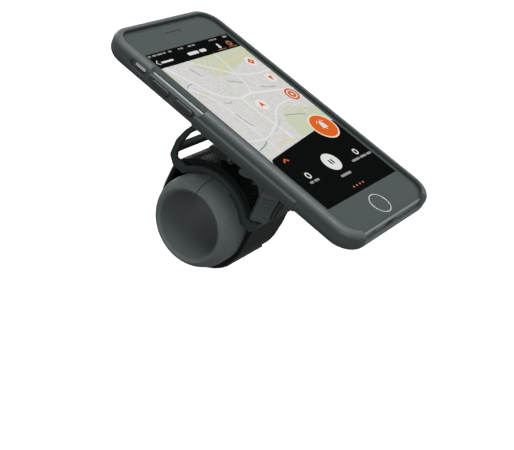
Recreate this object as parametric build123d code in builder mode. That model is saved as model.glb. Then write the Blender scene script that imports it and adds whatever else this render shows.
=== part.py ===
"""Handlebar phone mount: a strapped bracket with a twist-lock head and a phone case.

Frame: millimetres, origin on the handlebar's axis under the middle of the phone.
+X runs along the bar to the rider's right, +Y towards the top of the phone,
and +Z is square to the phone's glass, away from the bar.
"""
import os
from math import atan2, cos, degrees, radians, sin

from build123d import *

os.makedirs("parts", exist_ok=True)

# ---- driving dimensions ----
bar_radius = 15.9
sleeve_radius = 21.4
sleeve_half_length = 27.3
sleeve_slit = 0.4
sleeve_slit_angle = 80
sleeve_shoulder_length = 8.8

bracket_half_width = 16.5
saddle_inner_radius = 22.0
saddle_outer_radius = 24.6
floor_bottom_z = 12.2
floor_top_z = 16.4
deck_bottom_z = 35.2
deck_top_z = 38.0
deck_screw_depth = 2.3
front_wall_y = 26.0
front_slot_top_z = 18.2
front_slot_rear_y = 18.5
front_slot_corner = 2.0
front_window_low_z = 21.4
front_window_high_z = 31.2
front_window_half_width = 13.9
front_window_corner = 1.6
rear_window_middle = (9.0, 26.5)
rear_window_size = (11.0, 6.0)
rear_window_corner = 2.0
rear_rib_width = 1.0
rear_rib_low_y = -23.5
rear_rib_high_y = -25.5
corner_cut_reach = 25.2
corner_cut_low_z = 18.0
lever_slot_reach = 15.0
lever_slot_width = 9.0
boss_width = 3.8
boss_length = 2.4
boss_thickness = 2.6
boss_inner_face = 4.6

strap_half_width = 14.5
strap_wrap_radius = 23.4
strap_wrap_y = 0.8
strap_saddle_radius = 25.6
strap_thickness = 1.6
strap_tail_angle = 134
strap_front_angle = 50
strap_bend_length = 3.4
strap_slot_gap = 0.4
strap_eye_radius = 1.2
rear_slot_length = 2.6
tooth_pitch = 1.1
tooth_height = 0.9
tooth_half_width = 14.2
toothed_wrap_share = 0.84
anchor_pin_radius = 0.7
anchor_pin_half_length = 15.8

glass_z = 55.8
phone_width = 67.1
phone_length = 138.3
phone_thickness = 7.1
phone_corner_radius = 9.2
display_width = 58.5
display_length = 104.05
home_y = -61.0
earpiece_y = 61.3

case_gap = 0.15
case_wall = 1.95
case_lip = 1.3
lip_overhang = 1.4
lip_edge_radius = 2.6
case_bottom_z = 46.9
case_floor_z = 48.1
case_edge_radius = 4.6
band_low_y = -41.0
band_high_y = 15.5
band_depth = 0.6

side_button_z = 52.6
mute_y = 49.0
mute_slot_length = 10.4
mute_slot_height = 3.8
volume_up_y = 35.7
volume_down_y = 22.0
power_y = 36.0
pad_length = 10.4
pad_height = 2.8
pad_gap = 0.3
pad_z = side_button_z - 0.4
key_length = 9.4
key_height = 2.0
key_gap = 0.1
recess_depth = 0.4
recess_height = 4.6
camera_spot = (24.5, 59.5)
flash_spot = (15.5, 59.5)
camera_window_spot = (20.5, 59.5)
camera_window_size = (19.0, 10.5)
camera_radius = 3.6
lens_radius = 2.7
flash_radius = 1.7
port_size = (9.0, 2.8)
bottom_cut_half_width = 25.4

post_radius = 8.5
post_height = 5.6
running_gap = 0.05
head_base_radius = 14.3
head_base_thickness = 2.0
head_bore_radius = 4.5
head_bore_depth = 5.0
lug_radius = 12.5
lug_angle = 60
lug_thickness = 2.4
lug_gap = 0.4
ring_radius = 21.5
ring_bottom_z = 40.4
ring_lip_top_z = 42.8
ring_pocket_radius = 16.8
ring_screw_radius = 19.3
dimple_reach = 16.9
dimple_length = 6.4
dimple_width = 2.8
dimple_depth = 1.2
head_screw_radius = 11.4

lever_offset = 5.0
lever_pivot_reach = 20.5
lever_pivot_z = 36.4
lever_pin_radius = 0.9
lever_pin_half_length = 6.5
lever_arm_low_z = 35.4
lever_arm_high_z = 37.4
lever_arm_start = 15.6
lever_arm_width = 8.0
lever_eye_radius = 1.9
nose_half_width = 2.2
tab_reach = 26.2
tab_thickness = 2.0
tab_width = 8.7
tab_waist = 7.9
tab_foot = 7.4
tab_bottom_z = 20.0
tab_bend_z = 33.0
tab_lean = 0.9
tab_rim = 0.8
tab_rim_height = 0.45
tab_rib_count = 6
tab_rib_pitch = 1.9
tab_rib_radius = 0.5
wing_inner_x = -17.2
wing_outer_x = -18.9
rear_wing_low_z = 34.6

pawl_pivot_y = 2.8
pawl_pivot_z = 32.1
pawl_pin_radius = 1.1
pawl_pin_overhang = 4.0
pawl_half_width = 10.0
pawl_eye_radius = 2.3
pawl_ear_radius = 2.4
pawl_ear_gap = 0.4
pawl_ear_thickness = 2.0
pawl_nose_angle = 72
pawl_nose_gap = 0.35

# ---- derived places ----
head_base_z = deck_top_z + head_base_thickness
case_half_width = phone_width / 2 + case_gap + case_wall
case_half_length = phone_length / 2 + case_gap + case_wall
case_top_z = glass_z + case_lip
phone_back_z = glass_z - phone_thickness
band_bottom_z = case_bottom_z - band_depth
band_top_z = glass_z - 2.0
lip_low_z = glass_z - 1.3
lip_high_z = lip_low_z + lip_overhang
strap_front_y = strap_wrap_y + strap_wrap_radius
anchor_y = strap_wrap_y - strap_wrap_radius
anchor_z = (floor_bottom_z + floor_top_z) / 2 + 0.2

# The lever's own plane: x runs outwards along the rear-left diagonal, y along its hinge.
diagonal_out = Vector(-1, -1, 0).normalized()
lever_origin = Vector(1, -1, 0).normalized() * lever_offset
lever_plan = Plane(origin=lever_origin, x_dir=diagonal_out, z_dir=(0, 0, 1))
lever_side = Plane(origin=lever_origin, x_dir=diagonal_out, z_dir=Vector(-1, 1, 0).normalized())
lever_face = Plane(origin=lever_origin, x_dir=(1, -1, 0), z_dir=diagonal_out)


def on_circle(radius, angle):
    return (radius * cos(radians(angle)), radius * sin(radians(angle)))


# ---- rubber sleeve on the bar ----
with BuildPart() as bar_sleeve:
    with BuildSketch(Plane.XY):
        with BuildLine():
            mouth = (sleeve_half_length - 0.4, bar_radius + 0.7)
            nose = (sleeve_half_length, bar_radius + 1.5)
            shoulder = (sleeve_half_length - sleeve_shoulder_length, sleeve_radius)
            Polyline(shoulder, (0, sleeve_radius), (0, bar_radius), (mouth[0] - 0.7, bar_radius), mouth, nose)
            ThreePointArc(nose, (sleeve_half_length - 2.9, sleeve_radius - 1.3), shoulder)
        make_face()
        mirror(about=Plane.YZ)
    revolve(axis=Axis.X)
    slit_up = (0, cos(radians(sleeve_slit_angle)), sin(radians(sleeve_slit_angle)))
    with BuildSketch(Plane(origin=(0, 0, 0), x_dir=(1, 0, 0), z_dir=slit_up)):
        Rectangle(3 * sleeve_half_length, sleeve_slit)
    extrude(amount=2 * sleeve_radius, mode=Mode.SUBTRACT)
bar_sleeve.part.label = "bar_sleeve"
export_step(bar_sleeve.part, "parts/bar_sleeve.step")

# ---- bracket: a closed loop seen from the side, open along the bar ----
outer_loop = [(-22.8, deck_top_z), (-24.0, 31), (-24.6, 24), (-25.0, 17.5), (-23.8, floor_bottom_z),
              (24.6, floor_bottom_z), (28.4, 15.7), (28.6, 24), (26.6, 31), (23.2, deck_top_z)]
inner_loop = [(-20.4, deck_bottom_z), (-21.4, 30), (-22.0, 24), (-22.2, floor_top_z + 1.0),
              (-21.4, floor_top_z), (24.4, floor_top_z), (front_wall_y, 18.0), (front_wall_y, 24), (24.5, 30), (21.9, deck_bottom_z)]
rear_ribs = [((-4.6, 28.8), (-7.2, 23.9), (-4.7, 16.8)), ((1.2, 25.2), (-2.3, 19.6), (-1.2, 14.9))]
with BuildPart() as bracket_body:
    with BuildSketch(Plane.YZ):
        Polygon(*outer_loop, align=None)
        Circle(saddle_inner_radius, mode=Mode.SUBTRACT)
    extrude(amount=bracket_half_width, both=True)
    loop_edges = bracket_body.edges().filter_by(Axis.X)
    fillet(loop_edges.filter_by(lambda e: e.center().Z < floor_bottom_z + 0.1 and abs(e.center().Y) > 23), 1.8)
    fillet(bracket_body.edges().filter_by(Axis.X).filter_by(lambda e: abs(e.center().Z - 15.7) < 0.1), 3.0)
    fillet(bracket_body.edges().filter_by(Axis.X).filter_by(lambda e: 23 < e.center().Z < 32), 4.0)
    with BuildSketch(Plane.YZ):
        Polygon(*inner_loop, align=None)
        Circle(saddle_outer_radius, mode=Mode.SUBTRACT)
    extrude(amount=2 * bracket_half_width, both=True, mode=Mode.SUBTRACT)
    # slot behind that lets the strap up through the floor to its anchor
    slot_width = 2 * (strap_half_width + strap_slot_gap)
    with BuildSketch(Plane.XY.offset(floor_bottom_z)):
        with Locations((0, anchor_y)):
            Rectangle(slot_width, rear_slot_length)
    extrude(amount=floor_top_z - floor_bottom_z + 1, mode=Mode.SUBTRACT)
    # slot in front, open through the corner, that the strap leaves by
    with BuildSketch(Plane.XY.offset(floor_bottom_z - 1)):
        with Locations((0, (front_slot_rear_y + front_wall_y) / 2)):
            Rectangle(slot_width, front_wall_y - front_slot_rear_y)
    extrude(amount=floor_top_z - floor_bottom_z + 1.5, mode=Mode.SUBTRACT)
    with BuildSketch(Plane.XZ.offset(-front_wall_y + 2)):
        with Locations((0, (front_slot_top_z + floor_bottom_z) / 2 - 2)):
            RectangleRounded(slot_width, front_slot_top_z - floor_bottom_z + 4, front_slot_corner)
    extrude(amount=-10, mode=Mode.SUBTRACT)
    # long window through the front wall
    with BuildSketch(Plane.XZ.offset(-20)):
        with Locations((0, (front_window_low_z + front_window_high_z) / 2)):
            RectangleRounded(2 * front_window_half_width, front_window_high_z - front_window_low_z,
                             front_window_corner)
    extrude(amount=-12, mode=Mode.SUBTRACT)
    # window and two curved ribs in the rear wall
    with BuildSketch(Plane.XZ.offset(20)):
        with Locations(rear_window_middle):
            RectangleRounded(*rear_window_size, rear_window_corner)
    extrude(amount=8, mode=Mode.SUBTRACT)
    for rib_points in rear_ribs:
        with BuildSketch(Plane.XZ.offset(-rear_rib_low_y)):
            with BuildLine(mode=Mode.PRIVATE):
                rib_arc = ThreePointArc(*rib_points)
            SlotArc(rib_arc, rear_rib_width)
        extrude(amount=rear_rib_low_y - rear_rib_high_y)
    # corner cut that leaves room for the lever's tab
    with BuildSketch(lever_plan.offset(corner_cut_low_z)):
        with Locations((corner_cut_reach + 10, 0)):
            Rectangle(20, 40)
    extrude(amount=30, mode=Mode.SUBTRACT)
    # slot in the deck for the lever's arm
    with BuildSketch(lever_plan.offset(deck_bottom_z - 3)):
        with Locations((lever_slot_reach + 10, 0)):
            Rectangle(20, lever_slot_width)
    extrude(amount=10, mode=Mode.SUBTRACT)
    # bosses under the deck beside that slot, bored for the lever's pin
    for start_face in (-boss_inner_face - boss_thickness, boss_inner_face):
        with BuildSketch(lever_side.offset(start_face)):
            with Locations((lever_pivot_reach, lever_pivot_z - boss_length / 2)):
                SlotCenterToCenter(boss_length, boss_width, rotation=90)
        extrude(amount=boss_thickness)
    with BuildSketch(lever_side):
        with Locations((lever_pivot_reach, lever_pivot_z)):
            Circle(lever_pin_radius)
    extrude(amount=lever_pin_half_length + 0.1, both=True, mode=Mode.SUBTRACT)
    with BuildSketch(Plane.YZ.offset(-bracket_half_width)):
        Rectangle(100, 100)
    extrude(amount=-5, mode=Mode.SUBTRACT)
    # ears for the pawl's pin
    ear_low_y = pawl_pivot_y - pawl_ear_radius
    ear_high_y = pawl_pivot_y + pawl_ear_radius
    for side in (1, -1):
        with BuildSketch(Plane.YZ.offset(side * (pawl_half_width + pawl_ear_gap + pawl_ear_thickness / 2))):
            with BuildLine():
                Polyline((ear_low_y, deck_bottom_z), (ear_low_y, pawl_pivot_z))
                ThreePointArc((ear_low_y, pawl_pivot_z), (pawl_pivot_y, pawl_pivot_z - pawl_ear_radius),
                              (ear_high_y, pawl_pivot_z))
                Polyline((ear_high_y, pawl_pivot_z), (ear_high_y, deck_bottom_z), (ear_low_y, deck_bottom_z))
            make_face()
        extrude(amount=pawl_ear_thickness / 2, both=True)
    with BuildSketch(Plane.YZ):
        with Locations((pawl_pivot_y, pawl_pivot_z)):
            Circle(pawl_pin_radius)
    extrude(amount=bracket_half_width, both=True, mode=Mode.SUBTRACT)
    # blind bore for the strap's anchor pin
    with BuildSketch(Plane.YZ):
        with Locations((anchor_y, anchor_z)):
            Circle(anchor_pin_radius + 0.2)
    extrude(amount=anchor_pin_half_length + 0.1, both=True, mode=Mode.SUBTRACT)
    # four holes for the head's screws
    with Locations(Plane.XY.offset(deck_top_z)):
        with PolarLocations(head_screw_radius, 4, start_angle=0):
            Hole(0.95, depth=deck_screw_depth)
bracket_body.part.label = "bracket_body"
export_step(bracket_body.part, "parts/bracket_body.step")


def saddle_pad(start_angle, end_angle):
    inner = sleeve_radius + 0.02
    outer = saddle_inner_radius - 0.02
    middle = (start_angle + end_angle) / 2
    with BuildPart() as pad:
        with BuildSketch(Plane.YZ):
            with BuildLine():
                ThreePointArc(on_circle(inner, start_angle), on_circle(inner, middle), on_circle(inner, end_angle))
                Line(on_circle(inner, end_angle), on_circle(outer, end_angle))
                ThreePointArc(on_circle(outer, end_angle), on_circle(outer, middle), on_circle(outer, start_angle))
                Line(on_circle(outer, start_angle), on_circle(inner, start_angle))
            make_face()
        extrude(amount=bracket_half_width + 0.6, both=True)
    return pad


# ---- rubber pads between the sleeve and the saddle ----
saddle_pad_front = saddle_pad(46, 62)
saddle_pad_front.part.label = "saddle_pad_front"
export_step(saddle_pad_front.part, "parts/saddle_pad_front.step")

saddle_pad_rear = saddle_pad(108, 145)
saddle_pad_rear.part.label = "saddle_pad_rear"
export_step(saddle_pad_rear.part, "parts/saddle_pad_rear.step")

# ---- toothed strap: over the saddle, down in front, round the bar and up behind ----
front_start = on_circle(strap_saddle_radius, strap_front_angle)
front_heading = (sin(radians(strap_front_angle)), -cos(radians(strap_front_angle)))
bend_run = (strap_front_y - front_start[0]) / front_heading[0]
bend_z = front_start[1] + front_heading[1] * bend_run
bend_in = (strap_front_y - front_heading[0] * strap_bend_length, bend_z - front_heading[1] * strap_bend_length)
bend_out = (strap_front_y, bend_z - strap_bend_length)
tooth = [(-0.42, -0.2), (0.42, -0.2), (0.34, tooth_height), (0.02, tooth_height)]

with BuildPart() as strap:
    with BuildSketch(Plane.YZ):
        with BuildLine():
            saddle_run = CenterArc((0, 0), strap_saddle_radius, strap_tail_angle,
                                   strap_front_angle - strap_tail_angle)
            slope_run = Line(saddle_run @ 1, bend_in)
            bend_run = TangentArc(bend_in, bend_out, tangent=front_heading)
            front_run = Line(bend_out, (strap_front_y, 0))
            wrap_run = CenterArc((strap_wrap_y, 0), strap_wrap_radius, 0, -180)
            Line((anchor_y, 0), (anchor_y, anchor_z))
        trace(line_width=strap_thickness)
    extrude(amount=strap_half_width, both=True)
    with BuildSketch(Plane.YZ):
        with Locations((anchor_y, anchor_z)):
            Circle(strap_eye_radius)
    extrude(amount=strap_half_width, both=True)
    with BuildSketch(Plane.YZ):
        with Locations((anchor_y, anchor_z)):
            Circle(anchor_pin_radius + running_gap)
    extrude(amount=strap_half_width, both=True, mode=Mode.SUBTRACT)
    # teeth across the outer face, all the way from the tail to behind the bar
    with BuildSketch(Plane.YZ):
        for run, share in ((saddle_run, 1), (slope_run, 1), (bend_run, 1), (front_run, 1),
                           (wrap_run, toothed_wrap_share)):
            count = round(run.length * share / tooth_pitch)
            for index in range(count):
                place = run @ (share * (index + 0.5) / count)
                heading = run % (share * (index + 0.5) / count)
                face_y = place.X - heading.Y * strap_thickness / 2
                face_z = place.Y + heading.X * strap_thickness / 2
                with Locations(Location((face_y, face_z, 0), (0, 0, degrees(atan2(heading.Y, heading.X))))):
                    Polygon(*tooth, align=None)
    extrude(amount=tooth_half_width, both=True)
strap.part.label = "strap"
export_step(strap.part, "parts/strap.step")

with BuildPart() as strap_anchor_pin:
    with BuildSketch(Plane.YZ):
        with Locations((anchor_y, anchor_z)):
            Circle(anchor_pin_radius)
    extrude(amount=anchor_pin_half_length, both=True)
strap_anchor_pin.part.label = "strap_anchor_pin"
export_step(strap_anchor_pin.part, "parts/strap_anchor_pin.step")

# ---- pawl that holds the strap's teeth ----
nose_tip = on_circle(strap_saddle_radius + strap_thickness / 2 + tooth_height + pawl_nose_gap, pawl_nose_angle)
with BuildPart() as strap_pawl:
    with BuildSketch(Plane.YZ):
        with Locations((pawl_pivot_y, pawl_pivot_z)):
            Circle(pawl_eye_radius)
        with BuildLine():
            Polyline((pawl_pivot_y - 0.6, pawl_pivot_z + 2.1), (pawl_pivot_y + 5.0, pawl_pivot_z + 0.9),
                     (15.2, 29.4), (15.6, 27.9), (14.3, 27.0), (nose_tip[0] + 1.2, nose_tip[1] + 1.2), nose_tip,
                     (nose_tip[0] - 1.2, nose_tip[1] + 1.0), (pawl_pivot_y - 0.9, pawl_pivot_z - 2.0),
                     (pawl_pivot_y - 0.6, pawl_pivot_z + 2.1))
        make_face()
    extrude(amount=pawl_half_width, both=True)
    with BuildSketch(Plane.YZ):
        with Locations((pawl_pivot_y, pawl_pivot_z)):
            Circle(pawl_pin_radius + running_gap)
    extrude(amount=pawl_half_width, both=True, mode=Mode.SUBTRACT)
    with BuildSketch(Plane.YZ):
        with Locations((pawl_pivot_y, pawl_pivot_z)):
            Circle(2.9)
    extrude(amount=2.2, both=True, mode=Mode.SUBTRACT)
strap_pawl.part.label = "strap_pawl"
export_step(strap_pawl.part, "parts/strap_pawl.step")

with BuildPart() as pawl_pin:
    with BuildSketch(Plane.YZ):
        with Locations((pawl_pivot_y, pawl_pivot_z)):
            Circle(pawl_pin_radius)
    extrude(amount=pawl_half_width + pawl_pin_overhang, both=True)
    chamfer(pawl_pin.edges().filter_by(GeomType.CIRCLE), 0.25)
pawl_pin.part.label = "pawl_pin"
export_step(pawl_pin.part, "parts/pawl_pin.step")


def coil_spring(centre, direction, inside_radius, wire_radius, height, turns):
    pitch = (height - 2 * wire_radius) / turns
    start = Vector(centre) - Vector(direction) * (height / 2 - wire_radius)
    with BuildPart() as spring:
        with BuildLine():
            wire = Helix(pitch, pitch * turns, inside_radius + wire_radius, center=start, direction=direction)
        with BuildSketch(Plane(origin=wire @ 0, z_dir=wire % 0)):
            Circle(wire_radius)
        sweep(path=wire, is_frenet=True)
    return spring


pawl_spring = coil_spring((0, pawl_pivot_y, pawl_pivot_z), (1, 0, 0), pawl_pin_radius + 0.1, 0.35, 4.0, 4)
pawl_spring.part.label = "pawl_spring"
export_step(pawl_spring.part, "parts/pawl_spring.step")

# ---- twist head: a post with two lugs, screwed to the deck ----
with BuildPart() as twist_head:
    with BuildSketch(Plane.XY.offset(deck_top_z)):
        Circle(head_base_radius)
    extrude(amount=head_base_thickness)
    with BuildSketch(Plane.XY.offset(head_base_z)):
        Circle(post_radius)
    extrude(amount=post_height)
    for middle_angle in (0, 180):
        with BuildSketch(Plane.XY.offset(ring_lip_top_z + lug_gap)):
            with BuildLine():
                low = middle_angle - lug_angle / 2
                high = middle_angle + lug_angle / 2
                Line((0, 0), on_circle(lug_radius, low))
                ThreePointArc(on_circle(lug_radius, low), on_circle(lug_radius, middle_angle),
                              on_circle(lug_radius, high))
                Line(on_circle(lug_radius, high), (0, 0))
            make_face()
        extrude(amount=lug_thickness)
    with Locations(Plane.XY.offset(head_base_z)):
        with PolarLocations(head_screw_radius, 4, start_angle=0):
            CounterSinkHole(1.3, 2.3, depth=head_base_thickness)
    with Locations(Plane.XY.offset(head_base_z + post_height)):
        Hole(head_bore_radius, depth=head_bore_depth)
twist_head.part.label = "twist_head"
export_step(twist_head.part, "parts/twist_head.step")

# ---- countersunk screws, head flush with the surface, with a hexagon socket ----
def countersunk_screw(radius, head_radius, length):
    with BuildPart() as screw:
        with BuildSketch(Plane.XZ):
            with BuildLine():
                Polyline((0, 0), (head_radius, 0), (head_radius, -0.2), (radius, -0.2 - head_radius + radius),
                         (radius, 0.3 - length), (radius - 0.3, -length), (0, -length), (0, 0))
            make_face()
        revolve(axis=Axis.Z)
        with BuildSketch(Plane.XY):
            RegularPolygon(head_radius * 0.42, 6)
        extrude(amount=-0.8, mode=Mode.SUBTRACT)
    return screw.part


head_screw_shape = countersunk_screw(0.9, 2.0, 4.2)
with BuildPart() as head_screws:
    with Locations(Plane.XY.offset(head_base_z - 0.05)):
        with PolarLocations(head_screw_radius, 4, start_angle=0):
            add(head_screw_shape)
head_screws.part.label = "head_screws"
export_step(head_screws.part, "parts/head_screws.step")

# ---- release lever: arm, nose, finger tab with rim and ribs, and a wing on each side ----
tab_outer = tab_reach + tab_thickness
tab_slope = tab_lean / (tab_bend_z - tab_bottom_z)
wing_corner = (-19.6, 31.0)
wing_tip = (-6.0, 35.2)
with BuildPart() as release_lever:
    with BuildSketch(lever_plan.offset(lever_arm_low_z)):
        with Locations(((lever_arm_start + tab_reach + 1) / 2, 0)):
            Rectangle(tab_reach + 1 - lever_arm_start, lever_arm_width)
    extrude(amount=lever_arm_high_z - lever_arm_low_z)
    with BuildSketch(lever_side):
        with Locations((lever_pivot_reach, lever_pivot_z)):
            Circle(lever_eye_radius)
    extrude(amount=lever_arm_width / 2, both=True)
    # nose that rises under the lock ring
    with BuildSketch(lever_side):
        Polygon((lever_arm_start, 37.0), (18.6, 37.0), (17.6, ring_bottom_z - 0.3), (16.2, ring_bottom_z - 0.3),
                align=None)
    extrude(amount=nose_half_width, both=True)
    # finger tab, turned down outside the bracket's corner
    with BuildSketch(lever_side):
        Polygon((tab_reach, lever_arm_high_z), (tab_reach, tab_bend_z), (tab_reach + tab_lean, tab_bottom_z),
                (tab_outer + tab_lean, tab_bottom_z), (tab_outer, tab_bend_z), (tab_outer, lever_arm_high_z - 1),
                (tab_outer - 1, lever_arm_high_z), align=None)
    extrude(amount=tab_width / 2, both=True)
    # raised rim round the tab's outer face, with ribs across inside it
    with BuildSketch(lever_side):
        Polygon((tab_outer - 0.2, tab_bend_z + 1.5), (tab_outer + tab_lean - 0.2, tab_bottom_z),
                (tab_outer + tab_lean + tab_rim_height, tab_bottom_z),
                (tab_outer + tab_rim_height, tab_bend_z), align=None)
    extrude(amount=tab_width / 2, both=True)
    with BuildSketch(lever_side):
        Polygon((tab_outer, tab_bend_z - 1), (tab_outer + tab_lean, tab_bottom_z + tab_rim),
                (tab_outer + 4, tab_bottom_z + tab_rim), (tab_outer + 4, tab_bend_z - 1), align=None)
    extrude(amount=tab_foot / 2 - tab_rim, both=True, mode=Mode.SUBTRACT)
    with BuildSketch(lever_side):
        for index in range(tab_rib_count):
            rib_z = tab_bottom_z + 2 * tab_rim + index * tab_rib_pitch
            with Locations((tab_outer + (tab_bend_z - rib_z) * tab_slope, rib_z)):
                Circle(tab_rib_radius)
    extrude(amount=tab_foot / 2 - tab_rim + 0.1, both=True)
    # sides that curve in towards the foot
    for side in (1, -1):
        with BuildSketch(lever_face.offset(tab_reach - 0.5)):
            with BuildLine():
                foot = (side * tab_foot / 2, tab_bottom_z - 0.2)
                shoulder = (side * tab_width / 2, tab_bend_z + 1)
                ThreePointArc(foot, (side * tab_waist / 2, (tab_bottom_z + tab_bend_z) / 2 + 2), shoulder)
                Polyline(shoulder, (side * tab_width, tab_bend_z + 1), (side * tab_width, tab_bottom_z - 0.2), foot)
            make_face()
        extrude(amount=6, mode=Mode.SUBTRACT)
    # wings along the bracket's left side and its rear
    with BuildSketch(Plane.YZ.offset(wing_outer_x)):
        with BuildLine():
            Polyline(wing_corner, (wing_corner[0], lever_arm_high_z), (-9.2, lever_arm_high_z))
            ThreePointArc((-9.2, lever_arm_high_z), (-7.0, 36.9), wing_tip)
            ThreePointArc(wing_tip, (-6.6, 34.2), (-7.8, 33.9))
            ThreePointArc((-7.8, 33.9), (-10.5, 34.6), (-12.8, 35.8))
            ThreePointArc((-12.8, 35.8), (-16.4, 35.5), wing_corner)
        make_face()
    extrude(amount=wing_inner_x - wing_outer_x)
    with BuildSketch(Plane.XY.offset(rear_wing_low_z)):
        Polygon((-13.0, -24.9), (-6.0, -24.9), (-6.6, -26.6), (-12.0, -27.2), align=None)
    extrude(amount=lever_arm_high_z - rear_wing_low_z)
    with BuildSketch(lever_side):
        with Locations((lever_pivot_reach, lever_pivot_z)):
            Circle(lever_pin_radius + running_gap)
    extrude(amount=tab_width, both=True, mode=Mode.SUBTRACT)
    # gap in the arm for the spring's coil
    with BuildSketch(lever_plan.offset(lever_arm_low_z - 5)):
        with Locations((lever_pivot_reach, 0)):
            Rectangle(5.2, 3.6)
    extrude(amount=10, mode=Mode.SUBTRACT)
release_lever.part.label = "release_lever"
export_step(release_lever.part, "parts/release_lever.step")

with BuildPart() as lever_pin:
    with BuildSketch(lever_side):
        with Locations((lever_pivot_reach, lever_pivot_z)):
            Circle(lever_pin_radius)
    extrude(amount=lever_pin_half_length, both=True)
lever_pin.part.label = "lever_pin"
export_step(lever_pin.part, "parts/lever_pin.step")

lever_hinge_point = lever_origin + diagonal_out * lever_pivot_reach + Vector(0, 0, lever_pivot_z)
lever_spring = coil_spring(tuple(lever_hinge_point), tuple(Vector(1, -1, 0).normalized()),
                           lever_pin_radius + 0.1, 0.3, 3.0, 4)
lever_spring.part.label = "lever_spring"
export_step(lever_spring.part, "parts/lever_spring.step")

# ---- phone case ----
def case_outline(inset):
    return (2 * (case_half_width - inset), 2 * (case_half_length - inset))


case_corner_radius = phone_corner_radius + case_gap + case_wall

with BuildPart() as case_shell:
    with BuildSketch(Plane.XY.offset(case_bottom_z)):
        RectangleRounded(*case_outline(0), case_corner_radius)
    extrude(amount=case_top_z - case_bottom_z)
    fillet(case_shell.faces().sort_by(Axis.Z)[0].edges(), case_edge_radius)
    fillet(case_shell.faces().sort_by(Axis.Z)[-1].edges(), lip_edge_radius)
    # thicker band round the back and sides where the lock ring is fixed
    with BuildSketch(Plane.XZ.offset(-band_high_y)):
        with BuildLine() as band_half:
            band_radius = case_edge_radius + band_depth
            side_low = (case_half_width + band_depth, band_bottom_z + band_radius)
            back_end = (side_low[0] - band_radius, band_bottom_z)
            Polyline((0, band_top_z), (case_half_width - 0.2, band_top_z),
                     (case_half_width + band_depth, band_top_z - 1.2), side_low)
            TangentArc(side_low, back_end, tangent=(0, -1))
            Polyline(back_end, (0, band_bottom_z), (0, band_top_z))
        make_face()
        mirror(about=Plane.YZ)
    extrude(amount=band_high_y - band_low_y)
    # pocket for the phone
    with BuildSketch(Plane.XY.offset(case_floor_z)):
        RectangleRounded(*case_outline(case_wall), case_corner_radius - case_wall)
    extrude(amount=lip_low_z - case_floor_z, mode=Mode.SUBTRACT)
    # the lip leans in over the phone's rounded edge
    lip_inset = case_wall + lip_overhang
    with BuildSketch(Plane.XY.offset(lip_low_z)):
        RectangleRounded(*case_outline(case_wall), case_corner_radius - case_wall)
    with BuildSketch(Plane.XY.offset(lip_high_z)):
        RectangleRounded(*case_outline(lip_inset), case_corner_radius - lip_inset)
    loft(ruled=True, mode=Mode.SUBTRACT)
    with BuildSketch(Plane.XY.offset(lip_high_z)):
        RectangleRounded(*case_outline(lip_inset), case_corner_radius - lip_inset)
    extrude(amount=10, mode=Mode.SUBTRACT)
    # lip cut down beside the volume buttons
    with BuildSketch(Plane.YZ.offset(-case_half_width - 2)):
        Polygon((12.0, case_top_z + 1), (13.4, glass_z - 1.7), (42.6, glass_z - 1.7), (44.0, case_top_z + 1),
                align=None)
        fillet(vertices().group_by(Axis.Y)[0], 1.0)
    extrude(amount=lip_inset + 2.3, mode=Mode.SUBTRACT)
    # slot beside the mute switch
    with BuildSketch(Plane.YZ.offset(-case_half_width - 2)):
        with Locations((mute_y, glass_z - 2.7)):
            SlotOverall(mute_slot_length, mute_slot_height)
    extrude(amount=case_wall + 2.3, mode=Mode.SUBTRACT)
    # shallow recess and through windows for the button pads
    with BuildSketch(Plane.YZ.offset(-case_half_width - 2)):
        with Locations(((volume_up_y + volume_down_y) / 2, pad_z)):
            RectangleRounded(26.8, recess_height, 2.0)
    extrude(amount=2 + recess_depth, mode=Mode.SUBTRACT)
    with BuildSketch(Plane.YZ.offset(-case_half_width - 2)):
        with Locations((volume_up_y, pad_z), (volume_down_y, pad_z)):
            SlotOverall(pad_length + 2 * pad_gap, pad_height + 2 * pad_gap)
    extrude(amount=case_wall + 2.3, mode=Mode.SUBTRACT)
    with BuildSketch(Plane.YZ.offset(case_half_width + 2)):
        with Locations((power_y, pad_z)):
            RectangleRounded(13.2, recess_height, 2.0)
    extrude(amount=-2 - recess_depth, mode=Mode.SUBTRACT)
    with BuildSketch(Plane.YZ.offset(case_half_width + 2)):
        with Locations((power_y, pad_z)):
            SlotOverall(pad_length + 2 * pad_gap, pad_height + 2 * pad_gap)
    extrude(amount=-case_wall - 2.3, mode=Mode.SUBTRACT)
    # bottom wall open between the corners
    with BuildSketch(Plane.XZ.offset(case_half_length + 2)):
        Polygon((-bottom_cut_half_width, glass_z - 4.5), (bottom_cut_half_width, glass_z - 4.5),
                (bottom_cut_half_width + 2, case_top_z + 1), (-bottom_cut_half_width - 2, case_top_z + 1), align=None)
    extrude(amount=-lip_inset - 2.5, mode=Mode.SUBTRACT)
    # camera window in the back
    with BuildSketch(Plane.XY.offset(case_bottom_z - 2)):
        with Locations(camera_window_spot):
            SlotOverall(*camera_window_size)
    extrude(amount=6, mode=Mode.SUBTRACT)
    # countersinks inside the floor for the lock ring's screws
    with Locations(Plane.XY.offset(case_floor_z)):
        with PolarLocations(ring_screw_radius, 4, start_angle=45):
            CounterSinkHole(1.1, 2.2, depth=3)
case_shell.part.label = "case_shell"
export_step(case_shell.part, "parts/case_shell.step")

with BuildPart() as case_lining:
    with BuildSketch(Plane.XY.offset(case_floor_z)):
        RectangleRounded(phone_width - 4.5, phone_length - 4.5, phone_corner_radius - 2)
        with Locations(camera_window_spot):
            SlotOverall(camera_window_size[0] + 1, camera_window_size[1] + 1, mode=Mode.SUBTRACT)
    extrude(amount=phone_back_z - case_floor_z - 0.1)
case_lining.part.label = "case_lining"
export_step(case_lining.part, "parts/case_lining.step")

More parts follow.
